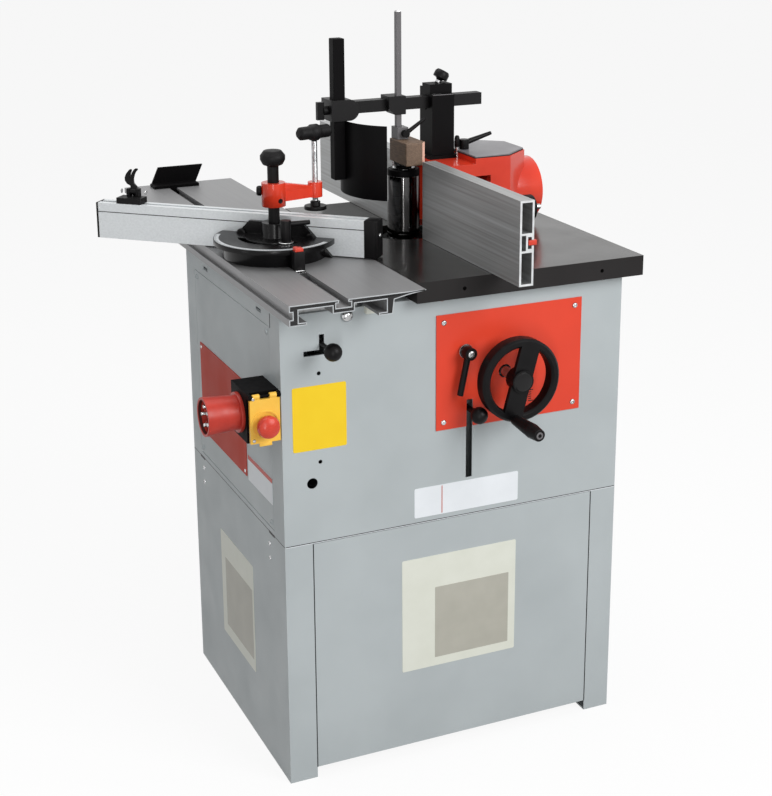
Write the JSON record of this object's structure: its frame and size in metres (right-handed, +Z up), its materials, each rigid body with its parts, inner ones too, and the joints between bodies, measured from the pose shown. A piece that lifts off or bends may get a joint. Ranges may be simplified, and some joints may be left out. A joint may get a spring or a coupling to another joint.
{
  "type": "spindle moulder",
  "caption": "Floor-standing spindle moulder with a sheet-metal cabinet, cast table, sliding table with mitre gauge, split fence, guard, handwheel and switch.",
  "frame": {"origin": "centre of the cabinet's footprint on the floor", "axes": "+X to the right along the handwheel's face, +Y away from it along the feed, +Z up"},
  "size_m": [0.84, 1.094, 1.299],
  "materials": {
    "cabinet_paint": "satin pale grey paint",
    "red_paint": "gloss red paint",
    "cast_iron": "ground and oiled cast iron, dark",
    "aluminium": "brushed extrusion",
    "black_plastic": "moulded black",
    "black_steel": "black enamel on steel",
    "steel": "turned steel",
    "bearing_steel": "ground bearing steel",
    "wood": "plain beech, darkened",
    "yellow_plastic": "moulded yellow",
    "red_plastic": "moulded red",
    "green_plastic": "moulded green",
    "belt_rubber": "rubber V-belt",
    "grey_steel": "grey enamel",
    "motor_grey": "dark grey enamel"
  },
  "bodies": {
    "machine": {"base_cabinet": "cabinet_paint", "base_front_panel": "cabinet_paint", "upper_cabinet": "cabinet_paint", "left_side_panel": "cabinet_paint", "cast_table": "cast_iron", "table_ring": "cast_iron", "control_panel": "red_paint", "switch_box": "black_plastic", "power_inlet": "red_plastic", "panel_screws": "steel", "slide_rail": "aluminium", "quill_bracket": "cast_iron"},
    "sliding_table": {"sliding_table": "aluminium"},
    "edging_shoe": {"edging_shoe": "black_steel"},
    "mitre_slide": {"mitre_slide_block": "steel"},
    "mitre_head": {"mitre_protractor": "black_steel", "mitre_fence": "aluminium", "fence_end_caps": "black_plastic"},
    "mitre_lock": {"mitre_lock_lever": "black_plastic"},
    "clamp_column": {"clamp_column": "black_plastic"},
    "clamp_arm": {"clamp_arm": "red_paint"},
    "clamp_foot": {"clamp_foot": "black_plastic"},
    "clamp_screw": {"clamp_screw": "black_plastic"},
    "flip_stop": {"flip_stop_body": "black_plastic"},
    "flip_arm": {"flip_stop_arm": "black_plastic"},
    "handwheel": {"handwheel": "black_plastic", "handwheel_shaft": "steel"},
    "crank": {"crank_handle": "black_plastic"},
    "leadscrew": {"leadscrew": "steel"},
    "carriage": {"quill": "cast_iron", "spindle_bearings": "bearing_steel", "drive_belt": "belt_rubber"},
    "spindle": {"spindle_shaft": "steel", "spindle_pulley": "aluminium", "spacer_rings": "black_steel", "spindle_nut": "black_steel"},
    "motor": {"motor": "motor_grey"},
    "motor_shaft": {"motor_pulley": "aluminium"},
    "belt_lever": {"belt_lever": "black_plastic"},
    "height_lock": {"height_lock_lever": "black_plastic"},
    "table_lock": {"table_lock_lever": "black_plastic"},
    "stop_flap": {"stop_flap": "yellow_plastic"},
    "stop_mushroom": {"stop_mushroom": "red_plastic"},
    "start_button": {"start_button": "green_plastic"},
    "fence_unit": {"hood": "red_paint", "hood_cover": "grey_steel", "guard_post": "black_steel"},
    "hood_lever": {"hood_clamp_lever": "black_plastic"},
    "infeed_carrier": {"infeed_carrier": "black_steel"},
    "adjust_knob": {"adjust_knob": "black_plastic"},
    "right_fence": {"right_fence": "aluminium"},
    "left_fence": {"left_fence": "aluminium"},
    "post_knob": {"post_knob": "black_plastic"},
    "guard_bar": {"guard_bar": "black_steel"},
    "wing_knob": {"wing_knob": "black_plastic"},
    "guard_column": {"guard_column": "black_steel", "curved_guard": "black_steel"},
    "shoe": {"shoe_rod": "grey_steel", "pressure_shoe": "wood"},
    "shoe_lever": {"shoe_lever": "black_plastic"}
  },
  "joints": [
    {"name": "sliding_table_travel", "type": "slide", "parent": "machine", "child": "sliding_table", "axis": [0, 1, 0], "range_m": [-0.52, 0.16]},
    {"name": "edging_shoe_travel", "type": "slide", "parent": "sliding_table", "child": "edging_shoe", "axis": [0, 1, 0], "range_m": [-0.2, 0.008]},
    {"name": "mitre_travel", "type": "slide", "parent": "sliding_table", "child": "mitre_slide", "axis": [0, 1, 0], "range_m": [-0.15, 0.3]},
    {"name": "mitre_swing", "type": "hinge", "parent": "mitre_slide", "child": "mitre_head", "pos_m": [-0.236, -0.002, 0.9], "axis": [0, 0, 1], "range_deg": [-2.5, 87.5]},
    {"name": "mitre_lock_turn", "type": "hinge", "parent": "mitre_slide", "child": "mitre_lock", "pos_m": [-0.236, -0.06, 0.94], "axis": [0, 0, 1], "range_deg": [-60, 60]},
    {"name": "clamp_swing", "type": "hinge", "parent": "mitre_head", "child": "clamp_column", "pos_m": [-0.236, -0.002, 1], "axis": [0, 0, 1], "range_deg": [-7, 75]},
    {"name": "clamp_arm_height", "type": "slide", "parent": "clamp_column", "child": "clamp_arm", "axis": [0, 0, 1], "range_m": [-0.02, 0.025]},
    {"name": "clamp_foot_feed", "type": "slide", "parent": "clamp_arm", "child": "clamp_foot", "axis": [0, 0, 1], "range_m": [-0.0481, 0.0061]},
    {"name": "clamp_screw_turn", "type": "hinge", "parent": "clamp_foot", "child": "clamp_screw", "pos_m": [-0.15029, 0.01794, 1], "axis": [0, 0, 1], "range_deg": [-4320, 540]},
    {"name": "flip_stop_travel", "type": "slide", "parent": "mitre_head", "child": "flip_stop", "axis": [0.7373, -0.6756, 0], "range_m": [-0.033, 0.16]},
    {"name": "flip_arm_fold", "type": "hinge", "parent": "flip_stop", "child": "flip_arm", "pos_m": [-0.42574, 0.22612, 0.98], "axis": [0.7373, -0.6756, 0], "range_deg": [0, 95]},
    {"name": "handwheel_turn", "type": "hinge", "parent": "machine", "child": "handwheel", "pos_m": [0.09, -0.316, 0.708], "axis": [0, -1, 0], "range_deg": [0, 7200]},
    {"name": "crank_spin", "type": "hinge", "parent": "handwheel", "child": "crank", "pos_m": [0.07258, -0.316, 0.64434], "axis": [0, 1, 0], "continuous": true},
    {"name": "leadscrew_turn", "type": "hinge", "parent": "machine", "child": "leadscrew", "pos_m": [0.09, -0.01, 0.7], "axis": [0, 0, 1], "range_deg": [0, 7200]},
    {"name": "spindle_height", "type": "slide", "parent": "machine", "child": "carriage", "axis": [0, 0, 1], "range_m": [-0.1, 0]},
    {"name": "spindle_spin", "type": "hinge", "parent": "carriage", "child": "spindle", "pos_m": [0.042, 0.06, 0.8], "axis": [0, 0, 1], "continuous": true},
    {"name": "motor_swing", "type": "hinge", "parent": "carriage", "child": "motor", "pos_m": [-0.04, -0.045, 0.578], "axis": [0, 0, 1], "range_deg": [-5.5, 5.5], "deforming": ["drive_belt"]},
    {"name": "belt_lever_push", "type": "slide", "parent": "carriage", "child": "belt_lever", "axis": [0, 1, 0], "range_m": [-0.0061, 0.0061]},
    {"name": "motor_spin", "type": "hinge", "parent": "motor", "child": "motor_shaft", "pos_m": [-0.135, 0.06, 0.6], "axis": [0, 0, 1], "continuous": true},
    {"name": "height_lock_turn", "type": "hinge", "parent": "machine", "child": "height_lock", "pos_m": [0.011, -0.273, 0.756], "axis": [0, -1, 0], "range_deg": [-30, 60]},
    {"name": "table_lock_lift", "type": "slide", "parent": "machine", "child": "table_lock", "axis": [0, 0, 1], "range_m": [-0.014, 0.007]},
    {"name": "stop_flap_lift", "type": "hinge", "parent": "machine", "child": "stop_flap", "pos_m": [-0.351, -0.253, 0.726], "axis": [-1, 0, 0], "range_deg": [0, 100]},
    {"name": "stop_mushroom_press", "type": "slide", "parent": "stop_flap", "child": "stop_mushroom", "axis": [0, 1, 0], "range_m": [0, 0.004], "stiffness_N_per_m": 800},
    {"name": "start_button_press", "type": "slide", "parent": "machine", "child": "start_button", "axis": [0, 1, 0], "range_m": [0, 0.003], "stiffness_N_per_m": 500},
    {"name": "fence_unit_travel", "type": "slide", "parent": "machine", "child": "fence_unit", "axis": [1, 0, 0], "range_m": [-0.02, 0.05]},
    {"name": "hood_lever_turn", "type": "hinge", "parent": "fence_unit", "child": "hood_lever", "pos_m": [0.166, 0.058, 1.05], "axis": [0, 0, 1], "range_deg": [-100, 100]},
    {"name": "infeed_fence_set", "type": "slide", "parent": "fence_unit", "child": "infeed_carrier", "axis": [1, 0, 0], "range_m": [-0.006, 0.006]},
    {"name": "adjust_knob_turn", "type": "hinge", "parent": "fence_unit", "child": "adjust_knob", "pos_m": [0.25, -0.036, 0.938], "axis": [1, 0, 0], "range_deg": [-1440, 1440]},
    {"name": "right_fence_travel", "type": "slide", "parent": "infeed_carrier", "child": "right_fence", "axis": [0, 1, 0], "range_m": [-0.05, 0.012]},
    {"name": "left_fence_travel", "type": "slide", "parent": "fence_unit", "child": "left_fence", "axis": [0, 1, 0], "range_m": [-0.03, 0.03]},
    {"name": "post_knob_turn", "type": "hinge", "parent": "fence_unit", "child": "post_knob", "pos_m": [0.118, 0.085, 1.154], "axis": [0.5, 0, 0.866], "range_deg": [-180, 180]},
    {"name": "guard_bar_travel", "type": "slide", "parent": "fence_unit", "child": "guard_bar", "axis": [1, 0, 0], "range_m": [-0.03, 0.018]},
    {"name": "wing_knob_turn", "type": "hinge", "parent": "guard_bar", "child": "wing_knob", "pos_m": [-0.109, 0.065, 1.13], "axis": [1, 0, 0], "range_deg": [-180, 180]},
    {"name": "guard_height", "type": "slide", "parent": "guard_bar", "child": "guard_column", "axis": [0, 0, 1], "range_m": [-0.07, 0]},
    {"name": "shoe_height", "type": "slide", "parent": "guard_bar", "child": "shoe", "axis": [0, 0, 1], "range_m": [-0.004, 0.02]},
    {"name": "shoe_lever_turn", "type": "hinge", "parent": "shoe", "child": "shoe_lever", "pos_m": [0.042, 0.0507, 1.079], "axis": [0, 1, 0], "range_deg": [-57, 30]}
  ],
  "couplings": [
    {"joint": "handwheel_turn", "follows": "spindle_height", "rad_per_m": -1256.6},
    {"joint": "leadscrew_turn", "follows": "spindle_height", "rad_per_m": -1256.6},
    {"joint": "clamp_foot_feed", "follows": "clamp_screw_turn", "m_per_rad": 0.00063662},
    {"joint": "belt_lever_push", "follows": "motor_swing", "m_per_rad": 0.062},
    {"joint": "motor_spin", "follows": "spindle_spin", "ratio": 0.76636},
    {"joint": "adjust_knob_turn", "follows": "infeed_fence_set", "rad_per_m": 4188.8}
  ]
}
